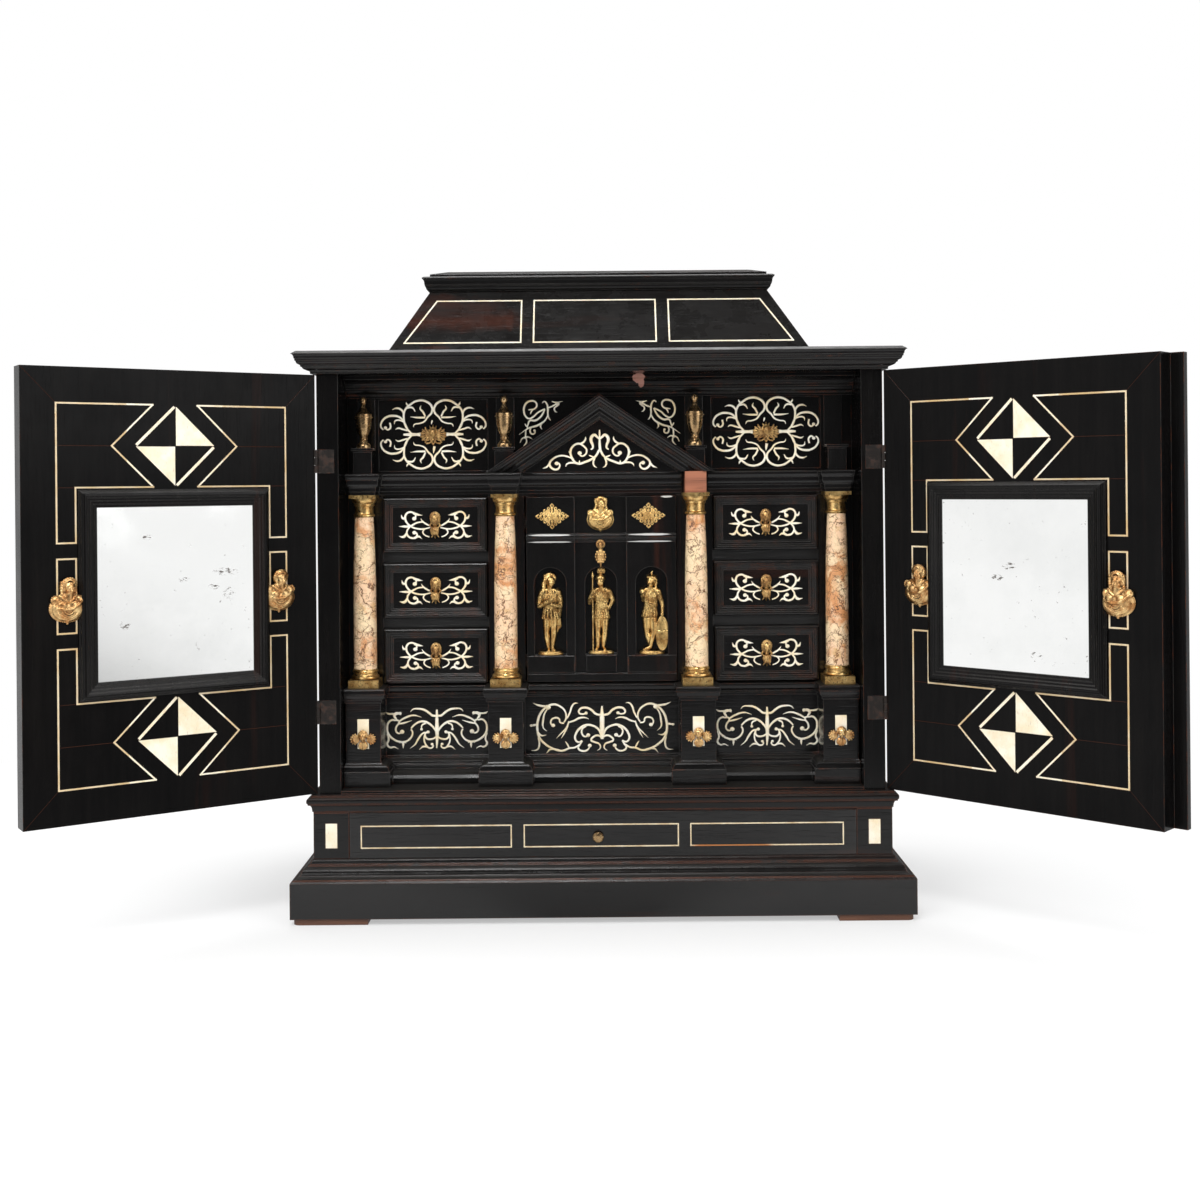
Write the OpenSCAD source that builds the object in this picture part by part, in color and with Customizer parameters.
// Ebonised table cabinet with bone inlay, gilt mounts and marble columns, doors standing open
// Sizes are in millimetres. Inside a module x runs to the right, y runs back from the case front, z runs up.

/* [Case] */
// Width of the case over its two sides
case_w = 566; // [556:1:600]
// Depth of the case from its front edges to its back
case_d = 290; // [270:1:330]
// Thickness of the case sides
side_t = 21.5; // [18:0.5:24]
// Thickness of the case floor
floor_t = 20.5; // [19:0.5:24]
// Thickness of the back board
back_t = 9; // [6:0.5:12]
// Gap round a moving wooden piece
running_gap = 0.5; // [0.4:0.1:0.8]
// Gap under a drawer that runs on its board
runner_gap = 0.3; // [0.2:0.1:0.4]

/* [Base] */
// Height of the block feet
foot_h = 6; // [4:0.5:12]
// Width of a foot along the front
foot_w = 74; // [60:1:90]
// Depth of a foot
foot_d = 60; // [50:1:80]
// How far a foot stands back from the plinth
foot_set = 2.5; // [1:0.5:5]
// Height of the plain plinth
plinth_h = 35; // [28:0.5:45]
// How far the plinth stands out from the case
plinth_out = 25.7; // [22:0.1:32]
// Thickness of the plinth boards
plinth_t = 20; // [15:0.5:24]
// Height of the stepped moulding on the plinth
flare_h = 19.7; // [17:0.1:26]
// Thickness of the board that the base drawer runs on
base_board_t = 10; // [7:0.5:14]
// Height of the waist round the base drawer
waist_h = 45.8; // [42:0.1:60]
// How far the waist stands out from the case
waist_out = 5.4; // [4:0.1:8]
// Width of the waist stiles beside the base drawer
waist_stile = 35.5; // [33:0.5:42]
// Height of the moulding between waist and doors
surbase_h = 17.5; // [15:0.5:18]
// How far that moulding stands out
surbase_out = 11.4; // [9:0.1:14]
// Width of a bone plaque on a waist stile
waist_plaque_w = 11.5; // [8:0.5:14]
// Height of a bone plaque on a waist stile
waist_plaque_h = 24.4; // [18:0.2:30]

/* [Façade heights] */
// Height of the band of pedestals and frieze panels
frieze_h = 100; // [94:0.5:110]
// Height of a small drawer front
drawer_h = 56.6; // [52:0.2:62]
// Thickness of the rails between the small drawers
rail_t = 10.1; // [8:0.1:12]
// Height of the moulded beam above the columns
entablature_h = 21.8; // [18:0.2:24]
// Height of the plain strip under that beam
architrave_strip = 2.5; // [1.5:0.1:4]
// Height of the attic up to the inner cornice
attic_h = 78.1; // [76:0.1:86]
// Height of the cornice inside the case
inner_cornice_h = 22.1; // [18:0.1:26]

/* [Façade plan] */
// Depth of the façade behind the case front
facade_back = 57; // [54:0.5:60]
// Depth of the column axes behind the case front
column_back = 38; // [36:0.5:40]
// Width of the central opening
center_w = 158; // [150:0.5:160]
// Width of the piers beside the central opening
inner_pier_w = 37.5; // [34:0.5:40]
// Width of an opening for small drawers
drawer_open_w = 109; // [100:0.5:112]
// Distance from the case side to the outer column axes
outer_column_in = 19.5; // [18:0.5:21]
// Thickness of the piers and of the attic board
facade_t = 12; // [9:0.5:14]
// Thickness of the partitions and of the dust boards
partition_t = 8; // [6:0.5:10]
// Thickness of the boards under the drawers and under the attic
shelf_t = 10; // [8:0.5:12]

/* [Columns and pediment] */
// Shaft diameter above the base
shaft_d = 23.6; // [20:0.1:25]
// Shaft diameter under the capital
shaft_top_d = 19; // [16:0.1:20]
// Swelling of the shaft at the middle
entasis = 0.8; // [0:0.1:1.5]
// Side of the square plinth under a column
column_plinth_w = 30.8; // [28:0.1:32]
// Height of that plinth
column_plinth_h = 8; // [6:0.1:10]
// Height of the turned base above it
column_base_h = 10.5; // [8:0.1:13]
// Height of the capital
capital_h = 22.5; // [18:0.1:26]
// Side of the square slab of the capital
abacus_w = 27; // [24:0.1:29]
// Width of the wood core where the beam breaks forward
ressaut_core_w = 21.6; // [18:0.1:24]
// Half the width of the pediment
pediment_half = 117; // [112:0.5:118]
// Height of the pediment
pediment_h = 79.5; // [74:0.5:80]
// Width of its raking moulding
rake_w = 20.7; // [16:0.1:24]
// How far the pediment stands out from the façade
pediment_out = 31; // [26:0.5:34]
// Width of an urn pedestal
urn_block_w = 19; // [16:0.5:20]
// Height of an urn pedestal without its slab
urn_block_h = 23.5; // [21:0.5:25]
// Thickness of the slab under an urn
urn_slab_t = 2.7; // [2:0.1:4]
// Height of an urn
urn_h = 53.3; // [48:0.1:56]
// Diameter of the body of an urn
urn_d = 17; // [14:0.1:18]

/* [Pedestals] */
// Width of the die of a pedestal
die_w = 35.5; // [32:0.5:37]
// Depth of the die front behind the case front
die_back = 20; // [18:0.5:23]
// Height of the plain block under a pedestal
pedestal_block_h = 15; // [12:0.5:18]
// Height of the cap of a pedestal
pedestal_cap_h = 14; // [11:0.5:16]
// How far the foot of a pedestal stands out from its die
pedestal_foot_out = 5; // [3:0.1:6]
// How far the cap of a pedestal stands out from its die
pedestal_cap_out = 4.7; // [3:0.1:5]
// Width of the foot block of an inner pedestal
pedestal_foot_w = 55; // [50:0.5:58]

/* [Doors] */
// Height of the gap under the doors, above the moulding
door_sill = 1; // [0.6:0.1:2]
// Thickness of a door
door_t = 20; // [16:0.5:24]
// Gap between the closed doors
door_meet = 1.4; // [1:0.1:2]
// Angle through which the left door stands open
left_open = 146.3; // [120:0.1:170]
// Angle through which the right door stands open
right_open = 136.2; // [120:0.1:170]
// Width of a mirror frame over all
frame_w = 182; // [170:0.5:186]
// Height of a mirror frame over all
frame_h = 193.6; // [180:0.2:196]
// Width of the moulding of a mirror frame
frame_bar = 16.5; // [14:0.1:19]
// Thickness of the mirror glass
glass_t = 2.5; // [2:0.1:2.8]
// Height of the door ornament's centre above the door's foot
ornament_up = 209; // [205:0.5:213]
// Width of a bone string
string_w = 1.5; // [1:0.1:2.2]
// Thickness of the bone inlay
inlay_t = 1; // [0.6:0.1:1.4]
// Half the diagonal of a bone and ebony diamond
diamond_r = 38; // [33:0.5:39]
// Width of the strip that covers the gap between the doors
strip_w = 24; // [20:0.5:28]
// Thickness of that strip
strip_t = 7.5; // [5:0.5:9]
// Height of a butt hinge
hinge_h = 23; // [18:0.5:28]
// Width of a hinge leaf
hinge_leaf = 17; // [14:0.5:19]
// Thickness of a hinge leaf
hinge_t = 1.2; // [0.9:0.1:1.5]
// Height of the lower hinge's middle above the door's foot
hinge_low_up = 81; // [60:1:100]
// Height of the upper hinge's middle above the door's foot
hinge_high_up = 332; // [310:1:350]
// How far the middle of a door bust lies outside the mirror frame
bust_out = 10.1; // [9:0.1:11]
// How far a door's pin lies outside the side of the case
hinge_out = 0.7; // [0.6:0.1:1]
// Radius of a hinge knuckle
knuckle_r = 2.2; // [2:0.1:2.3]
// Radius of a hinge pin
pin_r = 1; // [0.8:0.1:1.2]
// Clearance between a pin and its knuckle
pin_play = 0.06; // [0.03:0.01:0.09]

/* [Drawers] */
// Thickness of a small drawer front without its border
front_t = 12; // [9:0.5:14]
// Width of the moulded border of a small drawer front
border_w = 9.5; // [7:0.1:11]
// Height of the moulded border above its field
border_up = 4.5; // [3:0.1:5]
// How far a small drawer front stands out from the façade
front_out = 3; // [1:0.5:4]
// Thickness of the drawer sides
drawer_side_t = 6; // [4:0.5:8]
// Thickness of the drawer bottoms
drawer_floor_t = 4; // [3:0.5:6]
// Clear space behind the drawers
drawer_back_gap = 16; // [10:1:40]
// Height of the opening of an attic drawer
attic_open_h = 74; // [70:0.5:74]
// Width of the opening of an attic drawer
attic_open_w = 113; // [108:0.5:113]

/* [Niche door] */
// Thickness of the door behind its panel fronts
niche_door_t = 24; // [20:0.5:28]
// How far the outer bays stand out from the façade
bay_out = 4; // [2:0.5:5]
// Half the width of the middle bay
mid_bay_half = 27; // [24:0.5:30]
// Width of a niche
niche_w = 33; // [28:0.5:36]
// Height of a niche up to its crown
niche_h = 91; // [84:0.5:94]
// Height of the foot of a niche above the door's foot
niche_up = 27; // [24:0.5:29]
// Height of the ledges of the outer bays above the façade's foot
ledge_up = 145; // [138:0.5:150]
// Depth of a niche
niche_depth = 14; // [10:0.5:16]
// Height of a standing figure with its plate
figure_h = 87; // [80:0.5:89]
// Gap at the hinge side of the door
niche_hinge_gap = 2.1; // [1.9:0.1:2.5]

/* [Roof] */
// Height of the roof moulding round the case top
cornice_h = 21.8; // [18:0.2:26]
// How far that moulding stands out
cornice_out = 21.5; // [18:0.1:26]
// How far the roof's foot stands back from the case sides
roof_side_set = 68; // [60:1:80]
// How far the roof's foot stands back from the case front
roof_front_set = 20; // [14:0.5:30]
// Height of the sloping boards
roof_h = 66.4; // [58:0.2:74]
// How far the slope runs inwards
roof_run = 40; // [34:0.5:46]
// Thickness of the sloping boards
roof_t = 14; // [10:0.5:18]
// Height of the moulding under the top slab
cap_h = 15.8; // [12:0.2:20]
// How far that moulding stands out
cap_out = 7.6; // [5:0.1:10]
// Thickness of the bevelled top slab
slab_t = 7.5; // [5:0.5:10]
// Width of the bevel of the top slab
slab_bevel = 17; // [12:0.5:22]

/* [Hidden] */
$fn = 48;

// Heights of the stack, from the ground up
z_plinth = foot_h;
z_flare = z_plinth + plinth_h;
z_waist = z_flare + flare_h;
z_case = z_waist + waist_h;
z_floor = z_case + floor_t;
z_zone = z_floor + frieze_h;
drawer_open_h = drawer_h + runner_gap + 0.7;
zone_h = 3 * drawer_open_h + 2 * rail_t;
z_arch = z_zone + zone_h;
z_entablature = z_arch + architrave_strip;
z_attic = z_entablature + entablature_h;
z_inner_cornice = z_attic + attic_h;
z_ceiling = z_inner_cornice + inner_cornice_h;
z_roof = z_ceiling + cornice_h;
z_cap = z_roof + roof_h;
z_slab = z_cap + cap_h;

// Half widths and depths
case_half = case_w / 2;
inner_half = case_half - side_t;
inner_back = case_d - back_t;
facade_front = facade_back;
facade_rear = facade_back + facade_t;
center_half = center_w / 2;
drawer_in = center_half + inner_pier_w;
drawer_out = drawer_in + drawer_open_w;
drawer_mid = (drawer_in + drawer_out) / 2;
column_inner = center_half + inner_pier_w / 2;
column_outer = inner_half - outer_column_in;
COLUMNS = [-column_outer, -column_inner, column_inner, column_outer];
BARE_COLUMN = 2;
urn_axis_h = z_attic + urn_block_h + urn_slab_t;
attic_mid = drawer_mid + 1.5;
attic_sill = 2.7;

// Door geometry, drawn closed and then turned about the pin
door_face = -running_gap;
door_low = z_case + surbase_h + door_sill;
door_high = z_ceiling - door_sill;
door_w = case_half - door_meet / 2;
pin_x = case_half + hinge_out;
pin_y = door_face / 2;
ornament_z = door_low + ornament_up;
door_mid_u = door_w / 2;
hinge_z = [door_low + hinge_low_up, door_low + hinge_high_up];
knuckle_gap = 0.25;
knuckle_room = 0.35;

// The origin is the middle of the floor space that the open cabinet takes
strip_beyond = strip_w / 2;
door_reach = (pin_x - door_meet / 2) * sin(180 - min(left_open, right_open));
front_y = (door_reach - case_d) / 2;
function door_out(turned, along, thick) = along * cos(180 - turned) + thick * sin(180 - turned);
left_out = door_out(left_open, pin_x - door_meet / 2, door_t - pin_y - running_gap);
right_out = door_out(right_open, pin_x - door_meet / 2 + strip_beyond, door_t + strip_t - pin_y - running_gap);
front_x = (left_out - right_out) / 2;

wood = "#1a1512";
worn_wood = "#3b2219";
bone = "#eadfc0";
gilt = "#b08d43";
marble = "#d9b49c";
iron = "#3a3432";
glass = "#cfd6d4";
bare = "#b9826a";
cut = 1;
proud = 0.12;

// Points along a quarter curve from a to b, rounded out when bulge is 1 and hollow when it is -1
function quarter(a, b, bulge, n = 5) = [
  for (i = [0:n])
    let (t = 90 * i / n)
    bulge > 0
      ? [a[0] + (b[0] - a[0]) * sin(t), a[1] + (b[1] - a[1]) * (1 - cos(t))]
      : [a[0] + (b[0] - a[0]) * (1 - cos(t)), a[1] + (b[1] - a[1]) * sin(t)]
];

// Moulding profiles as [outwards, upwards], from the bottom to the top
function flare_profile(h, p, q) = concat(
  [[p, 0], [p - 1.2, h * 0.1], [p - 2.6, h * 0.1]],
  quarter([p - 2.6, h * 0.16], [p - 9, h * 0.36], 1),
  quarter([p - 9.6, h * 0.42], [q + 4.5, h * 0.68], -1),
  [[q + 4.5, h * 0.76], [q + 2.8, h * 0.76]],
  quarter([q + 2.8, h * 0.8], [q + 0.6, h], -1)
);
function surbase_profile(h, p, q) = concat(
  [[q, 0], [q, h * 0.08], [q + 1, h * 0.08], [q + 1, h * 0.16]],
  quarter([q + 1.2, h * 0.2], [p - 2, h * 0.48], -1),
  [[p - 1.2, h * 0.48], [p - 1.2, h * 0.56]],
  quarter([p - 0.6, h * 0.58], [p, h * 0.72], 1, 3),
  quarter([p, h * 0.74], [p - 2.4, h * 0.9], -1, 3),
  [[p - 4, h * 0.9], [p - 4, h]]
);
function cornice_profile(h, p) = concat(
  [[0, 0], [p * 0.24, 0], [p * 0.24, h * 0.09], [p * 0.3, h * 0.12]],
  quarter([p * 0.3, h * 0.14], [p * 0.56, h * 0.3], 1, 4),
  [[p * 0.62, h * 0.3], [p * 0.62, h * 0.37]],
  quarter([p * 0.66, h * 0.39], [p * 0.8, h * 0.56], 1, 4),
  [[p * 0.84, h * 0.56], [p * 0.84, h * 0.64]],
  quarter([p * 0.87, h * 0.66], [p, h * 0.86], -1, 4),
  [[p * 0.8, h]]
);
function cap_profile(h, p) = concat(
  [[0, 0], [p * 0.15, h * 0.06]],
  quarter([p * 0.15, h * 0.08], [p * 0.55, h * 0.38], 1, 4),
  [[p * 0.65, h * 0.38], [p * 0.65, h * 0.46]],
  quarter([p * 0.7, h * 0.48], [p, h * 0.86], -1, 4),
  [[p, h * 0.92], [p * 0.7, h]]
);
function beam_profile(h, p) = concat(
  [[p * 0.15, 0], [p * 0.3, 0], [p * 0.3, h * 0.16], [p * 0.42, h * 0.16], [p * 0.42, h * 0.34]],
  quarter([p * 0.5, h * 0.38], [p * 0.8, h * 0.58], 1, 4),
  [[p * 0.8, h * 0.7], [p * 0.88, h * 0.72]],
  [[p, h * 0.84], [p, h * 0.95], [p * 0.85, h]]
);
function inner_cornice_profile(h, p) = concat(
  [[p * 0.05, 0], [p * 0.12, 0], [p * 0.12, h * 0.12], [p * 0.2, h * 0.14]],
  quarter([p * 0.2, h * 0.18], [p * 0.42, h * 0.42], 1, 4),
  [[p * 0.5, h * 0.42], [p * 0.5, h * 0.52]],
  quarter([p * 0.55, h * 0.55], [p * 0.86, h * 0.8], -1, 4),
  [[p, h * 0.82], [p, h]]
);
// The frieze board, hollow at its foot and stepped under its top
function frieze_profile(h, foot, top) = concat(
  [[foot, 0], [foot, h * 0.015]],
  quarter([foot, h * 0.02], [foot * 0.4, h * 0.13], -1),
  [[foot * 0.42, h * 0.14], [foot * 0.42, h * 0.17]],
  quarter([foot * 0.36, h * 0.18], [foot * 0.12, h * 0.225], -1, 3),
  [[foot * 0.06, h * 0.23], [foot * 0.06, h * 0.25], [0, h * 0.25], [0, h * 0.86]],
  [[top * 0.3, h * 0.86], [top * 0.3, h * 0.885], [top * 0.5, h * 0.9]],
  quarter([top * 0.5, h * 0.91], [top, h * 0.96], 1, 3),
  [[top, h * 0.985], [top * 0.6, h * 0.985]]
);
function pedestal_profile(h, foot, cap) = concat(
  [[foot, 0], [foot, pedestal_block_h], [foot - 0.8, pedestal_block_h + 0.4]],
  quarter([foot - 0.8, pedestal_block_h + 1], [foot * 0.3, pedestal_block_h + 7], -1, 4),
  [[foot * 0.16, pedestal_block_h + 7.6], [0, pedestal_block_h + 9]],
  [[0, h - pedestal_cap_h], [cap * 0.35, h - pedestal_cap_h], [cap * 0.35, h - pedestal_cap_h * 0.8]],
  quarter([cap * 0.45, h - pedestal_cap_h * 0.74], [cap * 0.85, h - pedestal_cap_h * 0.42], 1, 4),
  [[cap, h - pedestal_cap_h * 0.36], [cap, h - pedestal_cap_h * 0.1], [cap * 0.8, h]]
);
// A picture frame bar as [across from the outer edge, up], with the rebate for its glass
function mirror_frame_profile(w) = [
  [0, 0], [0, 2.6], [w * 0.07, 3.4], [w * 0.1, 5.4], [w * 0.2, 6.9], [w * 0.32, 7.4], [w * 0.42, 7],
  [w * 0.47, 5.8], [w * 0.6, 5.4], [w * 0.64, 4.5], [w * 0.78, 4.2], [w * 0.84, 3.4], [w, 3.1],
  [w, glass_t + 0.1], [w - rebate, glass_t + 0.1], [w - rebate, 0]
];
rebate = 2;
function border_profile(w, up) = [
  [0, 0], [0, up * 0.55], [w * 0.08, up * 0.9], [w * 0.18, up], [w * 0.34, up], [w * 0.42, up * 0.72],
  [w * 0.56, up * 0.68], [w * 0.62, up * 0.45], [w * 0.8, up * 0.38], [w * 0.86, up * 0.18],
  [w, up * 0.15], [w, 0]
];

// Everything is drawn from the case front and moved once to the origin
module place() {
  translate([front_x, front_y, 0]) children();
}
module both_sides() {
  children();
  mirror([1, 0, 0]) children();
}
// A block with lowest corner a and highest corner b
module block(a, b) {
  translate(a) cube(b - a);
}
// A profile of [y, z] points run along x
module run_x(x0, x1, points) {
  translate([x0, 0, 0]) rotate([90, 0, 90]) linear_extrude(x1 - x0) polygon(points);
}
// A profile of [x, z] points run along y
module run_y(y0, y1, points) {
  translate([0, y1, 0]) rotate([90, 0, 0]) linear_extrude(y1 - y0) polygon(points);
}
// A slab moulded on its front and both sides, mitred at the front corners and flush at the back
module moulded_slab(profile, half, front, back) {
  n = len(profile);
  reach = max([for (q = profile) q[0]]) + cut;
  low = profile[0][1];
  high = profile[n - 1][1];
  right_edge = [for (q = profile) [half + q[0], q[1]]];
  left_edge = [for (i = [n - 1:-1:0]) [-half - profile[i][0], profile[i][1]]];
  intersection() {
    run_y(front - reach, back, concat(right_edge, left_edge));
    run_x(-half - reach, half + reach, concat(
      [for (q = profile) [front - q[0], q[1]]], [[back, high], [back, low]]
    ));
  }
}
// A block moulded on all four sides, centred on the origin
module moulded_block(profile, half_x, half_y) {
  n = len(profile);
  reach = max([for (q = profile) q[0]]) + cut;
  intersection() {
    run_y(-half_y - reach, half_y + reach, concat(
      [for (q = profile) [half_x + q[0], q[1]]],
      [for (i = [n - 1:-1:0]) [-half_x - profile[i][0], profile[i][1]]]
    ));
    run_x(-half_x - reach, half_x + reach, concat(
      [for (q = profile) [half_y + q[0], q[1]]],
      [for (i = [n - 1:-1:0]) [-half_y - profile[i][0], profile[i][1]]]
    ));
  }
}
// One bar of a frame, its ends cut at 45 degrees
module mitred_bar(profile, length, width) {
  intersection() {
    translate([-length / 2, 0, 0]) rotate([90, 0, 90]) linear_extrude(length) polygon(profile);
    linear_extrude(4 * width)
      polygon([[-length / 2, 0], [length / 2, 0], [length / 2 - width, width], [width - length / 2, width]]);
  }
}
// Four mitred bars round a w by h field, lying flat and facing up
module mitred_frame(profile, w, h, width) {
  for (turn = [0, 180]) {
    rotate([0, 0, turn]) translate([0, -h / 2, 0]) mitred_bar(profile, w, width);
    rotate([0, 0, turn + 90]) translate([0, -w / 2, 0]) mitred_bar(profile, h, width);
  }
}
// Stands a flat shape that faces up so that it faces the front
module on_front(x, y, z) {
  translate([x, y, z]) rotate([90, 0, 0]) children();
}
// Stands a flat shape that faces up on the inner face of a closed door
module on_door(u, z) {
  translate([u - case_half, door_face, z]) mirror([0, 1, 0]) rotate([90, 0, 0]) children();
}
// A straight flat line of width w from a to b
module stroke(a, b, w) {
  d = b - a;
  translate(a) rotate(atan2(d[1], d[0])) translate([-w / 2, -w / 2]) square([norm(d) + w, w]);
}
module closed_line(points, w) {
  n = len(points);
  for (i = [0:n - 1]) stroke(points[i], points[(i + 1) % n], w);
}
// A tapered round limb from a to b
module limb(a, b, r1, r2) {
  d = b - a;
  translate(a) rotate([0, acos(d[2] / norm(d)), atan2(d[1], d[0])]) cylinder(h = norm(d), r1 = r1, r2 = r2);
}
// Keeps only what lies above the plane z = 0
module above_plane(reach) {
  intersection() {
    children();
    translate([-reach, -reach, 0]) cube([2 * reach, 2 * reach, reach]);
  }
}

// Base
module feet() {
  foot_r = 7;
  x1 = case_half + plinth_out - foot_set;
  y0 = foot_set - plinth_out;
  color(worn_wood) place() both_sides() {
    intersection() {
      block([x1 - foot_w, y0, 0], [x1, y0 + foot_d, foot_h]);
      union() {
        block([x1 - foot_w, y0, 0], [x1 - foot_r, y0 + foot_d, foot_h]);
        block([x1 - foot_w, y0 + foot_r, 0], [x1, y0 + foot_d, foot_h]);
        translate([x1 - foot_r, y0 + foot_r, 0]) cylinder(h = foot_h, r = foot_r);
      }
    }
    block([x1 - foot_w, case_d - foot_set - foot_d, 0], [x1, case_d - foot_set, foot_h]);
  }
}
module plinth() {
  outer = case_half + plinth_out;
  flare_in = case_half - plinth_t + waist_out;
  color(wood) place() {
    difference() {
      block([-outer, -plinth_out, z_plinth], [outer, case_d, z_flare]);
      block(
        [plinth_t - outer, plinth_t - plinth_out, z_plinth - cut],
        [outer - plinth_t, case_d - plinth_t, z_flare + cut]
      );
    }
    difference() {
      translate([0, 0, z_flare])
        moulded_slab(flare_profile(flare_h, plinth_out, waist_out), case_half, 0, case_d);
      block(
        [-flare_in, plinth_t - waist_out, z_flare - cut],
        [flare_in, case_d - plinth_t, z_waist - base_board_t]
      );
    }
  }
}
module waist() {
  outer = case_half + waist_out;
  open_half = outer - waist_stile;
  wall_in = outer - plinth_t;
  guide_h = 11;
  color(wood) place() difference() {
    block([-outer, -waist_out, z_waist], [outer, case_d, z_case]);
    block([-open_half, -waist_out - cut, z_waist - cut], [open_half, case_d - facade_t, z_case + cut]);
    block([-wall_in, plinth_t - waist_out, z_waist + guide_h], [wall_in, case_d - facade_t, z_case + cut]);
    waist_plaque_shapes();
  }
}
module waist_plaque_shapes() {
  stile_mid = case_half + waist_out - waist_stile / 2;
  both_sides() block(
    [stile_mid - waist_plaque_w / 2, -waist_out - proud, z_waist + (waist_h - waist_plaque_h) / 2],
    [stile_mid + waist_plaque_w / 2, inlay_t - waist_out, z_waist + (waist_h + waist_plaque_h) / 2]
  );
}
module surbase() {
  color(wood) place() {
    difference() {
      translate([0, 0, z_case])
        moulded_slab(surbase_profile(surbase_h, surbase_out, waist_out), case_half, 0, case_d);
      block([-case_half, 0, z_case - cut], [case_half, case_d + cut, z_case + surbase_h + cut]);
    }
    block([-inner_half, 0, z_case], [inner_half, inner_back, z_floor]);
  }
}

// Room round the knuckles of a door's hinges
module knuckle_rooms() {
  for (z = hinge_z)
    translate([-pin_x, pin_y, z - hinge_h / 2]) cylinder(h = hinge_h, r = knuckle_r + knuckle_room);
}

// Case
module case_side() {
  difference() {
    block([-case_half, 0, z_case], [-inner_half, case_d, z_ceiling]);
    for (z = hinge_z)
      block([-case_half - cut, -cut, z - hinge_h / 2], [hinge_leaf - case_half, hinge_t, z + hinge_h / 2]);
    knuckle_rooms();
  }
}
module left_side() {
  color(wood) place() case_side();
}
module right_side() {
  color(wood) place() mirror([1, 0, 0]) case_side();
}
module back_board() {
  color(worn_wood) place() block([-inner_half, inner_back, z_case], [inner_half, case_d, z_ceiling]);
}
module cornice() {
  color(wood) place() translate([0, 0, z_ceiling])
    moulded_slab(cornice_profile(cornice_h, cornice_out), case_half, 0, case_d);
}

// Roof
roof_half = case_half - roof_side_set;
roof_half_d = case_d / 2 - roof_front_set;
roof_angle = atan2(roof_h, roof_run);
roof_slope = norm([roof_h, roof_run]);
module roof_place() {
  translate([0, roof_front_set, z_roof]) rotate([roof_angle, 0, 0]) children();
}
// The three string panels, drawn flat with y up the slope
module roof_strings_flat() {
  low = 12.3;
  high = roof_slope - 11.8;
  corner_in = 17;
  slant_in = 8;
  middle = [-66.5, 58.5];
  sides = [-79.5, 72];
  closed_line([[middle[0], low], [middle[1], low], [middle[1], high], [middle[0], high]], string_w);
  for (i = [0, 1]) let (side = 2 * i - 1) closed_line([
    [sides[i], low],
    [side * (roof_half - corner_in), low],
    [side * (roof_half - roof_run - slant_in), high],
    [sides[i], high]
  ], string_w);
}
module roof_boards() {
  inner = roof_t / sin(roof_angle);
  step = cut * roof_run / roof_h;
  color(wood) place() difference() {
    translate([0, case_d / 2, z_roof]) difference() {
      moulded_block([[0, 0], [-roof_run, roof_h]], roof_half, roof_half_d);
      moulded_block([[step - inner, -cut], [-inner - roof_run - step, roof_h + cut]], roof_half, roof_half_d);
    }
    roof_place() translate([0, 0, proud - inlay_t]) linear_extrude(inlay_t + cut) roof_strings_flat();
  }
}
module roof_cap() {
  half_x = roof_half - roof_run;
  half_y = roof_half_d - roof_run;
  color(wood) place() translate([0, case_d / 2, 0]) {
    translate([0, 0, z_cap]) moulded_block(cap_profile(cap_h, cap_out), half_x, half_y);
    translate([0, 0, z_slab])
      moulded_block([[0, 0], [0, slab_t * 0.4], [-slab_bevel, slab_t]], half_x, half_y);
  }
}
module case_inlay() {
  color(bone) place() {
    waist_plaque_shapes();
    roof_place() translate([0, 0, proud - inlay_t]) linear_extrude(inlay_t) roof_strings_flat();
  }
}

// Inside of the case
module inner_cornice() {
  profile = inner_cornice_profile(inner_cornice_h, facade_back - column_back + 7);
  points = concat(
    [for (q = profile) [facade_front - q[0], q[1]]], [[facade_front, inner_cornice_h], [facade_front, 0]]
  );
  color(wood) place() difference() {
    translate([0, 0, z_inner_cornice]) run_x(-inner_half, inner_half, points);
    pediment_outline(0.2);
  }
}
module interior_boards() {
  color(worn_wood) place() {
    block([-inner_half, facade_rear + 0.7, z_zone - facade_t], [inner_half, inner_back, z_zone]);
    block([-inner_half, facade_rear, z_attic - shelf_t], [inner_half, inner_back, z_attic]);
    both_sides() {
      for (x = [center_half, drawer_in - partition_t, drawer_out])
        block([x, facade_rear, z_zone], [x + partition_t, inner_back, z_attic - shelf_t]);
      for (i = [1, 2])
        block([drawer_in, facade_front, z_zone + i * drawer_open_h + (i - 1) * rail_t],
              [drawer_out, inner_back, z_zone + i * (drawer_open_h + rail_t)]);
      for (side = [-1, 1])
        translate([attic_mid + side * (attic_open_w / 2 - shelf_t), 0, 0])
          block([-shelf_t / 2, facade_rear, z_attic], [shelf_t / 2, inner_back, z_attic + attic_sill]);
    }
  }
}
module facade_piers() {
  color(wood) place() both_sides() {
    block([center_half, facade_front, z_zone], [drawer_in, facade_rear, z_arch]);
    block([drawer_out, facade_front, z_zone], [inner_half, facade_rear, z_arch]);
  }
}
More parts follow.
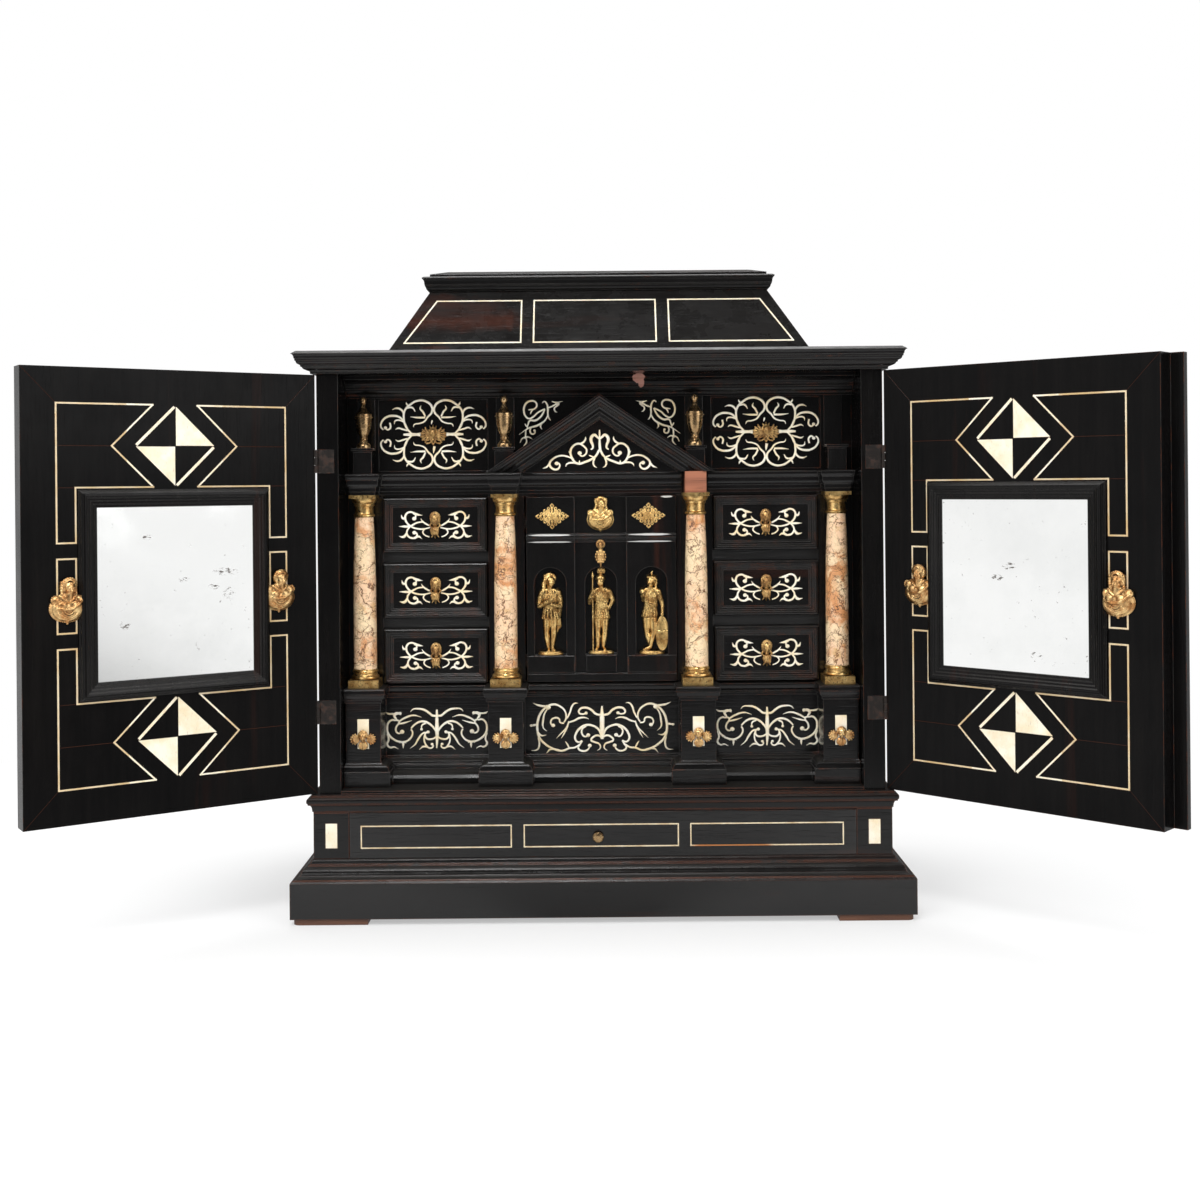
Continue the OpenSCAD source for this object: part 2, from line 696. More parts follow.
// Blocks and slabs under the urns, with the flat pilaster behind each urn
module urn_pedestals() {
  slab_out = 1.8;
  pilaster_t = 1.4;
  half = urn_block_w / 2;
  front = column_back - half;
  profile = [
    [0, 0], [0, urn_block_h - 1.2], [slab_out * 0.6, urn_block_h], [slab_out, urn_block_h],
    [slab_out, urn_block_h + urn_slab_t]
  ];
  color(wood) place() difference() {
    for (x = COLUMNS) translate([x, 0, z_attic]) {
      moulded_slab(profile, half, front, facade_front);
      block([-half, facade_front - pilaster_t, urn_block_h + urn_slab_t], [half, facade_front, attic_h]);
    }
    pediment_outline(0);
  }
}
module attic_front() {
  color(wood) place() difference() {
    block([-inner_half, facade_front, z_attic], [inner_half, facade_rear, z_ceiling]);
    both_sides() block(
      [attic_mid - attic_open_w / 2, facade_front - cut, z_attic + attic_sill],
      [attic_mid + attic_open_w / 2, facade_rear + cut, z_attic + attic_sill + attic_open_h]
    );
  }
}

// Pediment: raking mouldings mitred at the apex round a sunk triangle
module pediment_outline(grow) {
  run_y(facade_front - pediment_out - cut, facade_front, [
    [-pediment_half - grow, z_attic - cut],
    [-pediment_half - grow, z_attic],
    [0, z_attic + pediment_h + grow],
    [pediment_half + grow, z_attic],
    [pediment_half + grow, z_attic - cut]
  ]);
}
module raking_moulding() {
  p = pediment_out;
  slope = atan2(pediment_h, pediment_half);
  length = norm([pediment_half, pediment_h]);
  profile = concat(
    [[0, 0], [0, p], [rake_w * 0.1, p]],
    quarter([rake_w * 0.14, p - 0.8], [rake_w * 0.34, p - 4.5], 1, 4),
    [[rake_w * 0.4, p - 4.8], [rake_w * 0.4, p - 6]],
    quarter([rake_w * 0.46, p - 6.2], [rake_w * 0.64, p - 9.5], -1, 4),
    [[rake_w * 0.72, p - 9.6], [rake_w * 0.72, p - 11], [rake_w * 0.9, p - 12], [rake_w, p - 14], [rake_w, 0]]
  );
  intersection() {
    multmatrix([
      [-sin(slope), 0, -cos(slope), pediment_half],
      [0, -1, 0, facade_front],
      [-cos(slope), 0, sin(slope), z_attic],
      [0, 0, 0, 1]
    ]) translate([0, 0, -rake_w * 2]) linear_extrude(length + 4 * rake_w) polygon(profile);
    block(
      [0, facade_front - p - cut, z_attic],
      [pediment_half + cut, facade_front, z_attic + pediment_h + cut]
    );
  }
}
module pediment() {
  slope = atan2(pediment_h, pediment_half);
  inset = rake_w * 0.9;
  tympanum_out = 9;
  color(wood) place() {
    both_sides() raking_moulding();
    run_y(facade_front - tympanum_out, facade_front, [
      [-pediment_half + inset / sin(slope), z_attic],
      [0, z_attic + pediment_h - inset / cos(slope)],
      [pediment_half - inset / sin(slope), z_attic]
    ]);
  }
}

// Entablature: a moulded beam on its rail, breaking forward over three of the four columns
module entablature() {
  beam_out = 9;
  break_out = 6.5;
  lost_half = ressaut_core_w / 2 + 2.6;
  beam = beam_profile(entablature_h, beam_out);
  core_front = facade_front - column_back + 11;
  bare_x = COLUMNS[BARE_COLUMN];
  color(wood) place() {
    block([-inner_half, facade_front, z_arch], [inner_half, facade_rear, z_attic]);
    difference() {
      translate([0, 0, z_entablature]) run_x(-inner_half, inner_half, concat(
        [for (q = beam) [facade_front - q[0], q[1]]], [[facade_front, entablature_h], [facade_front, 0]]
      ));
      block([bare_x - lost_half, 0, z_arch], [bare_x + lost_half, facade_front, z_attic + cut]);
    }
    intersection() {
      for (i = [0:3]) if (i != BARE_COLUMN) translate([COLUMNS[i], 0, z_entablature])
        moulded_slab(beam_profile(entablature_h, break_out), ressaut_core_w / 2, core_front, facade_front);
      block([-inner_half, 0, z_arch], [inner_half, facade_front, z_attic]);
    }
  }
}
module bare_block() {
  half = ressaut_core_w / 2;
  core_front = facade_front - column_back + 11;
  color(bare) place() translate([COLUMNS[BARE_COLUMN], 0, 0])
    block([-half, core_front, z_entablature], [half, facade_front, z_attic]);
}

// Columns and urns
column_foot = z_zone - 0.5;
shaft_low = column_foot + column_plinth_h + column_base_h;
shaft_high = z_entablature - capital_h;
module column_shafts() {
  n = 12;
  r0 = shaft_d / 2;
  r1 = shaft_top_d / 2;
  h = shaft_high - shaft_low;
  side = [for (i = [0:n]) let (t = i / n) [r0 + (r1 - r0) * t * t + entasis * sin(180 * t) * t, h * t]];
  color(marble) place() for (x = COLUMNS) translate([x, column_back, shaft_low])
    rotate_extrude() polygon(concat([[0, 0]], side, [[0, h]]));
}
module column_mounts() {
  half = column_plinth_w / 2;
  r = shaft_d / 2;
  t = shaft_top_d / 2;
  b = column_base_h;
  base = concat(
    [[0, 0]],
    quarter([r + 1, 0], [r + 2.6, b * 0.2], 1, 3), quarter([r + 2.6, b * 0.2], [r + 1, b * 0.4], -1, 3),
    quarter([r + 0.6, b * 0.46], [r + 0.2, b * 0.6], -1, 2),
    quarter([r + 0.3, b * 0.64], [r + 1.4, b * 0.76], 1, 3),
    quarter([r + 1.4, b * 0.76], [r + 0.4, b * 0.92], -1, 3), [[r + 0.3, b], [0, b]]
  );
  c = capital_h;
  slab = 3.4;
  bell = concat(
    [[0, 0], [t + 0.3, 0], [t + 1.4, c * 0.05], [t + 1.4, c * 0.11]],
    [[t + 0.2, c * 0.16], [t, c * 0.2], [t, c * 0.5]],
    [[t + 1, c * 0.52], [t + 1, c * 0.6]],
    quarter([t + 0.8, c * 0.62], [abacus_w / 2 - 0.6, c - slab], 1, 4),
    [[0, c - slab]]
  );
  color(gilt) place() for (x = COLUMNS) translate([x, column_back, 0]) {
    block([-half, -half, column_foot], [half, half, column_foot + column_plinth_h]);
    translate([0, 0, column_foot + column_plinth_h]) rotate_extrude() polygon(base);
    translate([0, 0, shaft_high]) rotate_extrude() polygon(bell);
    block([-abacus_w / 2, -abacus_w / 2, z_entablature - slab], [abacus_w / 2, abacus_w / 2, z_entablature]);
  }
}
module urns() {
  r = urn_d / 2;
  h = urn_h;
  side = [
    for (at = [
      [0, 0], [0.84, 0], [0.84, 0.05], [0.8, 0.07], [0.64, 0.1], [0.53, 0.13], [0.42, 0.15], [0.5, 0.165],
      [0.5, 0.185], [0.41, 0.2], [0.44, 0.22], [0.6, 0.265], [0.76, 0.325], [0.87, 0.39], [0.94, 0.46],
      [0.97, 0.56], [0.97, 0.58], [1.12, 0.585], [1.12, 0.605], [1, 0.61], [1, 0.655], [0.92, 0.672],
      [0.78, 0.68], [0.6, 0.72], [0.41, 0.77], [0.29, 0.82], [0.23, 0.846], [0.33, 0.868], [0.4, 0.9],
      [0.41, 0.93], [0.35, 0.965], [0.2, 0.99], [0, 1]
    ]) [r * at[0], h * at[1]]
  ];
  color(gilt) place() for (i = [0:2]) translate([COLUMNS[i], column_back, urn_axis_h])
    rotate_extrude() polygon(side);
}

// Door hinges: the case front carries the outer knuckles and the pin, the door's edge the middle one
knuckle_h = hinge_h / 3;
module case_hinge() {
  for (side = [-1, 1]) {
    z0 = side < 0 ? -hinge_h / 2 : hinge_h / 2 - knuckle_h + knuckle_gap;
    z1 = z0 + knuckle_h - knuckle_gap;
    translate([-pin_x, pin_y, z0]) cylinder(h = z1 - z0, r = knuckle_r);
    block([-pin_x, 0, z0], [-case_half, hinge_t, z1]);
  }
  difference() {
    block([-case_half, 0, -hinge_h / 2], [hinge_leaf - case_half, hinge_t, hinge_h / 2]);
    translate([-pin_x, pin_y, -knuckle_h / 2]) cylinder(h = knuckle_h, r = knuckle_r + knuckle_room);
  }
  translate([-pin_x, pin_y, -hinge_h / 2]) cylinder(h = hinge_h, r = pin_r);
}
module case_hinges() {
  color(iron) place() {
    both_sides() for (z = hinge_z) translate([0, 0, z]) case_hinge();
    for (up = small_hinge_up) translate([niche_pin[0], niche_pin[1], niche_low + up]) pier_hinge();
  }
}
module door_hinge() {
  half = knuckle_h / 2 - knuckle_gap / 2;
  leaf_y = pin_y - knuckle_r - knuckle_room;
  difference() {
    union() {
      translate([-pin_x, pin_y, -half]) cylinder(h = 2 * half, r = knuckle_r);
      block([-case_half, leaf_y - cut, -half], [hinge_t - case_half, pin_y, half]);
      block([-case_half, pin_y - hinge_leaf, -hinge_h / 2], [hinge_t - case_half, leaf_y, hinge_h / 2]);
    }
    translate([-pin_x, pin_y, -hinge_h]) cylinder(h = 2 * hinge_h, r = pin_r + pin_play);
  }
}

// Doors, drawn closed on the left and mirrored for the right
module turn_left() {
  place() translate([-pin_x, pin_y, 0]) rotate([0, 0, -left_open]) translate([pin_x, -pin_y, 0]) children();
}
module turn_right() {
  place() translate([pin_x, pin_y, 0]) rotate([0, 0, right_open]) translate([-pin_x, -pin_y, 0])
    mirror([1, 0, 0]) children();
}
// The bone quarters of a diamond, and the lines along its two ebony quarters
module diamond(flip) {
  half_gap = 0.5;
  line_w = string_w * 1.7;
  r = diamond_r;
  mirror([flip, 0]) {
    for (turn = [0, 180]) rotate(turn) {
      polygon([[-half_gap, half_gap], [-half_gap, r - half_gap], [half_gap - r, half_gap]]);
      stroke([line_w * 0.7, r - line_w * 0.7], [r - line_w * 0.7, line_w * 0.7], line_w);
    }
  }
}
// Strings and diamonds of one door, as [distance from the hinge edge, height above the centre]
module door_pattern(flip) {
  diamond_up = 137.4;
  field_up = 176.2;
  chevron_tip = 59.8;
  chevron_end = 21.4;
  field_half = 109.7;
  tuck_half = 90.9 + 0.4;
  tuck_low = 48.4;
  panel_half = 33.9;
  inner_up = 98.9;
  translate([door_mid_u, 0]) {
    for (mx = [0, 1]) mirror([mx, 0]) {
      for (my = [0, 1]) mirror([0, my]) closed_line([
        [field_half, field_up], [chevron_end, field_up], [chevron_tip, diamond_up], [chevron_end, inner_up],
        [tuck_half + string_w, inner_up], [tuck_half + string_w, tuck_low], [field_half, tuck_low]
      ], string_w);
      closed_line([
        [tuck_half + string_w, -panel_half], [field_half, -panel_half],
        [field_half, panel_half], [tuck_half + string_w, panel_half]
      ], string_w);
    }
    for (side = [-1, 1]) translate([0, side * diamond_up]) diamond(flip);
  }
}
module door_inlay(flip, depth, out) {
  translate([-case_half, door_face + out, ornament_z]) rotate([90, 0, 0])
    linear_extrude(depth + out) door_pattern(flip);
}
module door_board(flip) {
  difference() {
    block([-case_half, door_face - door_t, door_low], [door_w - case_half, door_face, door_high]);
    door_inlay(flip, inlay_t, cut);
    for (z = hinge_z)
      block(
        [-case_half - cut, pin_y - hinge_leaf, z - hinge_h / 2],
        [hinge_t - case_half, cut, z + hinge_h / 2]
      );
    knuckle_rooms();
  }
}
module door_mirror_frame() {
  on_door(door_mid_u, ornament_z) mitred_frame(mirror_frame_profile(frame_bar), frame_w, frame_h, frame_bar);
}
module door_mirror() {
  edge = 2 * (frame_bar - rebate + 0.2);
  on_door(door_mid_u, ornament_z) translate([0, 0, glass_t / 2])
    cube([frame_w - edge, frame_h - edge, glass_t], center = true);
}
module door_hinge_pair() {
  for (z = hinge_z) translate([0, 0, z]) door_hinge();
}
// A gilt bust in half relief on its scrolled foot, facing up, 36 wide and 29 tall
module bust() {
  above_plane(30) {
    translate([0, 9.6, 3.6]) sphere(4.6);
    translate([0, 11, 2]) sphere(4.9);
    limb([0, 0.6, 2.2], [0, 8, 3], 2.9, 2.3);
    limb([0, -9, 1.4], [0, 1.5, 2.2], 6.4, 4.8);
    for (side = [-1, 1]) {
      limb([side * 2, 0, 1.6], [side * 11, -3.6, 1], 4.6, 3.8);
      limb([side * 11, -3, 1], [side * 14.6, -7.4, 0.6], 3.7, 2.8);
      translate([side * 14.4, -7, 0.6]) sphere(3.4);
      limb([side * 2, -9, 1], [side * 9, -9.4, 0.8], 3.8, 2.6);
    }
    limb([0, -12.4, 0.8], [0, -8, 1], 3.4, 5.4);
  }
}
module door_busts() {
  beside_frame = frame_w / 2 + 0.3;
  inset = door_mid_u - frame_w / 2 - bust_out;
  difference() {
    for (u = [inset, door_w - inset]) on_door(u, ornament_z - 7) translate([0, 0, proud + 0.03]) bust();
    block(
      [door_mid_u - case_half - beside_frame, -cut, door_low],
      [door_mid_u - case_half + beside_frame, facade_front, door_high]
    );
  }
}
// The strip on the free edge of the right door, which laps over the left door by a clear gap
module meeting_strip() {
  edge = door_w - case_half;
  face = door_face - door_t;
  block([edge - strip_beyond, face - strip_t, door_low], [edge, face, door_high]);
  block([edge - cut, face - strip_t, door_low], [edge + strip_beyond, face - running_gap, door_high]);
}
module left_door_leaf() {
  color(wood) turn_left() door_board(0);
}
module left_mirror_frame() {
  color(wood) turn_left() door_mirror_frame();
}
module left_mirror() {
  color(glass) turn_left() door_mirror();
}
module left_door_inlay() {
  color(bone) turn_left() door_inlay(0, inlay_t, proud);
}
module left_door_busts() {
  color(gilt) turn_left() door_busts();
}
module left_door_hinges() {
  color(iron) turn_left() door_hinge_pair();
}
module right_door_leaf() {
  color(wood) turn_right() {
    door_board(1);
    meeting_strip();
  }
}
module right_mirror_frame() {
  color(wood) turn_right() door_mirror_frame();
}
module right_mirror() {
  color(glass) turn_right() door_mirror();
}
module right_door_inlay() {
  color(bone) turn_right() door_inlay(1, inlay_t, proud);
}
module right_door_busts() {
  color(gilt) turn_right() door_busts();
}
module right_door_hinges() {
  color(iron) turn_right() door_hinge_pair();
}

// Niche door: three bays with arched niches, the middle one set back
niche_low = z_zone + 0.8;
niche_high = z_arch - 0.8;
niche_foot = niche_low + niche_up;
niche_x = [-center_half / 2 - mid_bay_half / 2 + 0.5, 0, center_half / 2 + mid_bay_half / 2 - 0.5];
bay_front = facade_front - bay_out;
ledge_z = z_zone + ledge_up;
ledge_h = 8.5;
niche_left = niche_hinge_gap - center_half;
niche_right = center_half - 0.8;
niche_pin = [-center_half + niche_hinge_gap / 2, bay_front + 2.4];
small_hinge_up = [22, 165];
small_knuckle_h = 4;
small_knuckle_r = 0.95;
small_pin_r = 0.45;
niche_play = 0.3;
small_plate_t = 0.55;
small_plate_d = 11;
// The pier's half of a small hinge, with its pin, from the pin's middle
module pier_hinge() {
  x0 = -niche_hinge_gap / 2;
  x1 = x0 + small_plate_t;
  y1 = facade_front - niche_pin[1];
  rise = 1.5 * small_knuckle_h;
  half = (small_knuckle_h - knuckle_gap) / 2;
  for (side = [-1, 1]) translate([0, 0, side * small_knuckle_h]) {
    cylinder(h = 2 * half, r = small_knuckle_r, center = true);
    block([x0, 0, -half], [x1, y1 + 1, half]);
  }
  block([x0, y1, -rise], [x1, y1 + small_plate_d, rise]);
  cylinder(h = 2 * rise, r = small_pin_r, center = true);
}
// The door's half of a small hinge
module niche_hinge() {
  x1 = niche_hinge_gap / 2;
  x0 = x1 - small_plate_t;
  y0 = 2;
  rise = 1.5 * small_knuckle_h;
  half = (small_knuckle_h - knuckle_gap) / 2;
  difference() {
    union() {
      cylinder(h = 2 * half, r = small_knuckle_r, center = true);
      block([x0, 0, -half], [x1, y0, half]);
      block([x0, y0, -rise], [x1, y0 + small_plate_d, rise]);
    }
    cylinder(h = 2 * small_knuckle_h, r = small_pin_r + pin_play, center = true);
  }
}
// The upright outline of a niche with a round head
module niche_cut(front) {
  r = niche_w / 2;
  translate([0, front + niche_depth, niche_foot]) rotate([90, 0, 0]) linear_extrude(niche_depth + cut) {
    translate([-r, 0]) square([niche_w, niche_h - r]);
    translate([0, niche_h - r]) circle(r);
  }
}
module niche_ledge(x0, x1, front, out) {
  translate([0, 0, ledge_z]) run_x(x0, x1, concat(
    [[front, 0], [front - out * 0.3, 0], [front - out * 0.3, ledge_h * 0.2]],
    [for (q = quarter([out * 0.35, ledge_h * 0.25], [out * 0.8, ledge_h * 0.55], 1, 4)) [front - q[0], q[1]]],
    [[front - out, ledge_h * 0.6], [front - out, ledge_h * 0.86]],
    [[front - out * 0.7, ledge_h], [front, ledge_h]]
  ));
}
module niche_door() {
  block_h = 17;
  block_high = niche_foot - 0.6;
  block_low = block_high - block_h;
  block_front = bay_front - 1.6;
  leaf_back = facade_front + niche_door_t;
  mid_block = 15.5;
  ledge_out = 4.6;
  color(wood) place() {
    difference() {
      union() {
        block([niche_left, facade_front + 1, niche_low], [niche_right, leaf_back, niche_high]);
        block([niche_left, bay_front, niche_low], [-mid_bay_half, facade_front + 1, niche_high]);
        block([mid_bay_half, bay_front, niche_low], [niche_right, facade_front + 1, niche_high]);
        block([niche_left + 0.6, block_front, block_low], [-mid_bay_half - 1, bay_front, block_high]);
        block([mid_bay_half + 1, block_front, block_low], [niche_right - 0.6, bay_front, block_high]);
        block([-mid_block, facade_front - 1, block_low], [mid_block, facade_front + 1, block_high]);
        block([niche_left, bay_front - 0.8, niche_low], [niche_right, facade_front + 1, niche_low + 8]);
        niche_ledge(niche_left, -mid_bay_half, bay_front, ledge_out);
        niche_ledge(mid_bay_half, niche_right, bay_front, ledge_out);
        niche_ledge(-mid_bay_half, mid_bay_half, facade_front + 1, ledge_out);
      }
      translate([niche_x[0], 0, 0]) niche_cut(bay_front);
      translate([niche_x[1], 0, 0]) niche_cut(facade_front + 1);
      translate([niche_x[2], 0, 0]) niche_cut(bay_front);
    }
  }
}
// An upright oval of the given half width and half height
module oval(half_w, half_h) {
  sides = 20;
  polygon([for (i = [0:sides - 1]) [half_w * sin(360 * i / sides), half_h * cos(360 * i / sides)]]);
}
// A standing figure on its plate, facing the front, height 1 scaled to figure_h
module figure(pose) {
  $fn = 12;
  h = figure_h;
  hip = [0, 0, h * 0.5];
  chest = [0, -0.3, h * 0.72];
  foot_gap = h * 0.055;
  plate_t = h * 0.035;
  block([-h * 0.15, -h * 0.075, 0], [h * 0.15, h * 0.075, plate_t]);
  limb([-foot_gap * 1.3, 0, plate_t - 0.2], [-foot_gap, 0, h * 0.28], h * 0.028, h * 0.038);
  limb([-foot_gap, 0, h * 0.27], [-foot_gap * 0.8, 0, h * 0.48], h * 0.036, h * 0.056);
  limb([foot_gap * 1.1, -1, plate_t - 0.2], [foot_gap, -1.4, h * 0.28], h * 0.028, h * 0.038);
  limb([foot_gap, -1.4, h * 0.27], [foot_gap * 0.8, 0, h * 0.48], h * 0.036, h * 0.056);
  for (side = [-1, 1])
    limb(
      [side * foot_gap * 1.2, 0.4, plate_t + 0.6],
      [side * foot_gap * 1.6, -h * 0.055, plate_t + 0.3],
      h * 0.026, h * 0.018
    );
  limb([0, 0, h * 0.38], hip + [0, 0, h * 0.05], h * 0.115, h * 0.078);
  limb(hip + [0, 0, h * 0.04], chest, h * 0.074, h * 0.1);
  limb(chest - [0, 0, 0.4], chest + [0, 0.3, h * 0.09], h * 0.1, h * 0.04);
  limb(chest + [0, 0, h * 0.07], chest + [0, -0.6, h * 0.15], h * 0.034, h * 0.03);
  translate([0, -h * 0.01, h * 0.905]) sphere(h * 0.052);
  if (pose == "sword") {
    limb([-h * 0.1, 0, h * 0.77], [-h * 0.145, -1, h * 0.62], h * 0.042, h * 0.036);
    limb([-h * 0.145, -1.2, h * 0.63], [h * 0.01, -h * 0.1, h * 0.62], h * 0.034, h * 0.026);
    limb([h * 0.1, 0, h * 0.77], [h * 0.14, -1, h * 0.62], h * 0.042, h * 0.036);
    limb([h * 0.14, -1.2, h * 0.63], [h * 0.01, -h * 0.1, h * 0.6], h * 0.034, h * 0.026);
    limb([h * 0.02, -h * 0.1, plate_t - 0.2], [h * 0.01, -h * 0.1, h * 0.64], 0.9, 1.3);
    limb([0, h * 0.03, h * 0.4], [0, h * 0.02, h * 0.86], h * 0.11, h * 0.07);
  }
  if (pose == "spear") {
    limb([-h * 0.1, 0, h * 0.77], [-h * 0.14, -1, h * 0.62], h * 0.04, h * 0.034);
    limb([-h * 0.14, -1.2, h * 0.63], [-h * 0.13, -h * 0.07, h * 0.59], h * 0.032, h * 0.026);
    limb([h * 0.1, 0, h * 0.77], [h * 0.14, 0, h * 0.62], h * 0.04, h * 0.034);
    limb([h * 0.14, 0, h * 0.63], [h * 0.08, -2, h * 0.56], h * 0.032, h * 0.026);
    limb([-h * 0.115, -h * 0.08, plate_t - 0.2], [-h * 0.115, -h * 0.08, h * 0.97], 0.9, 0.8);
    limb([0, 0.4, h * 0.93], [0, 1, h * 0.99], h * 0.045, h * 0.012);
  }
  if (pose == "shield") {
    limb([-h * 0.1, 0, h * 0.77], [-h * 0.14, 0, h * 0.62], h * 0.04, h * 0.034);
    limb([-h * 0.14, 0, h * 0.63], [-h * 0.07, -2.4, h * 0.55], h * 0.032, h * 0.026);
    limb([h * 0.1, 0, h * 0.77], [h * 0.14, -1, h * 0.62], h * 0.04, h * 0.034);
    limb([h * 0.14, -1, h * 0.63], [h * 0.12, -h * 0.07, h * 0.44], h * 0.032, h * 0.026);
    limb([0, 0.4, h * 0.93], [0, 1, h * 0.99], h * 0.045, h * 0.012);
    translate([h * 0.105, -h * 0.03, plate_t + h * 0.2]) rotate([90, 0, 0])
      linear_extrude(h * 0.03) oval(h * 0.08, h * 0.16);
  }
}
// The figures are flat behind, so that they stand clear of the backs of their niches
module niche_figures() {
  poses = ["sword", "spear", "shield"];
  stand = [bay_front + 5.2, facade_front + 6.8, bay_front + 5.2];
  back = [bay_front, facade_front + 1, bay_front];
  color(gilt) place() for (i = [0:2]) difference() {
    translate([niche_x[i], stand[i], niche_foot]) figure(poses[i]);
    block(
      [niche_x[i] - niche_w, back[i] + niche_depth - niche_play, niche_foot - cut],
      [niche_x[i] + niche_w, back[i] + 2 * niche_depth, niche_foot + figure_h + cut]
    );
  }
}
// An openwork lozenge with a scalloped edge, facing up
module lozenge() {
  w = 17;
  h = 13.5;
  lobe = 2.2;
  linear_extrude(1.6) difference() {
    union() {
      polygon([[-w + lobe, 0], [0, lobe - h], [w - lobe, 0], [0, h - lobe]]);
      for (i = [0:11]) {
        t = (i % 3) / 3;
        corner = [[w, 0], [0, h], [-w, 0], [0, -h]];
        a = corner[floor(i / 3)];
        b = corner[(floor(i / 3) + 1) % 4];
        translate((a + (b - a) * t) * (1 - lobe / w)) circle(lobe);
      }
    }
    for (x = [-1, 1], y = [-1, 1]) translate([x * w * 0.25, y * h * 0.25]) circle(1.5);
    for (x = [-1, 1]) translate([x * w * 0.5, 0]) circle(1.5);
  }
  cylinder(h = 3, r = 3);
}
// A mask over a scrolled drop, facing up
module mask_crest() {
  above_plane(20) {
    translate([0, 12, 1.5]) sphere(3.6);
    limb([0, 3, 1], [0, 10, 1.4], 3.8, 2.6);
    for (side = [-1, 1]) {
      limb([side * 1.5, 5, 0.8], [side * 5.6, 1.5, 0.6], 2.4, 1.8);
      limb([side * 2, 0, 0.8], [side * 6, -8, 0.6], 2.2, 1.6);
      limb([side * 5.6, -7, 0.6], [side * 8, -13, 0.4], 2.2, 1.2);
    }
    limb([0, -5, 0.8], [0, 4, 1.2], 2.2, 3.4);
  }
}
module niche_mounts() {
  lozenge_up = 172;
  crest_up = 129.2;
  bust_scale = 0.96;
  color(gilt) place() {
    for (x = [niche_x[0] + 2.6, niche_x[2] - 2.6]) on_front(x, bay_front, z_zone + lozenge_up) lozenge();
    on_front(0, facade_front + 1, z_zone + lozenge_up + 1) scale(bust_scale) bust();
    on_front(0, facade_front + 1, z_zone + crest_up) mask_crest();
    for (up = small_hinge_up) translate([niche_pin[0], niche_pin[1], niche_low + up]) niche_hinge();
  }
}

// Small drawers
drawer_rear = inner_back - drawer_back_gap;
// An open box from a to b with its back and sides
module tray(a, b) {
  difference() {
    block(a, b);
    block(
      [a[0] + drawer_side_t, a[1] + drawer_side_t, a[2] + drawer_floor_t],
      [b[0] - drawer_side_t, b[1] - drawer_side_t, b[2] + cut]
    );
  }
}
module small_drawer(x, row) {
  z0 = z_zone + row * (drawer_open_h + rail_t) + runner_gap;
  half = drawer_open_w / 2 - running_gap;
  field_y = facade_front - front_out;
  headroom = 8;
  color(wood) place() translate([x, 0, z0]) {
    block([-half, field_y, 0], [half, field_y + front_t, drawer_h]);
    on_front(0, field_y, drawer_h / 2)
      mitred_frame(border_profile(border_w, border_up), 2 * half, drawer_h, border_w);
    tray([-half + 0.5, field_y + front_t, 0], [half - 0.5, drawer_rear, drawer_h - headroom]);
  }
}
// A mask pull on its stem, facing up
module mask_pull() {
  stem = 5;
  translate([0, 4, 0]) cylinder(h = stem + 1, r = 1.6);
  translate([0, 5.4, stem + 2]) sphere(5.2);
  limb([0, 4, stem + 1.6], [0, -8.6, stem + 1.2], 4.9, 2.2);
  for (side = [-1, 1]) limb([side * 2, 1, stem + 1.4], [side * 4.8, -5, stem + 0.6], 2.4, 1.5);
  limb([0, 9, stem + 1], [0, 12.6, stem + 0.6], 3.4, 1.6);
}
module small_pull(x, row) {
  z0 = z_zone + row * (drawer_open_h + rail_t) + runner_gap;
  color(gilt) place() on_front(x, facade_front - front_out, z0 + drawer_h / 2) mask_pull();
}

// Attic drawers
module attic_drawer(x) {
  half = attic_open_w / 2 - running_gap;
  z0 = z_attic + attic_sill + runner_gap;
  height = attic_open_h - runner_gap - running_gap;
  headroom = 6;
  color(wood) place() translate([x, 0, z0]) {
    block([-half, facade_front, 0], [half, facade_rear, height]);
    tray([-half + 0.5, facade_rear, 0], [half - 0.5, drawer_rear, height - headroom]);
  }
}
module attic_mount(x) {
  color(gilt) place() on_front(x, facade_front, z_attic + attic_sill + attic_open_h / 2) {
    cylinder(h = 2.6, r = 8.5);
    above_plane(20) {
      translate([0, 0, 2]) sphere(6.2);
      for (side = [-1, 1]) {
        limb([side * 4, 0, 1], [side * 12, 3, 0.8], 4.4, 3);
        limb([side * 4, 0, 1], [side * 12, -3, 0.8], 4.4, 3);
        limb([0, side * 4, 1], [0, side * 8, 0.8], 3.6, 2.2);
      }
    }
  }
}

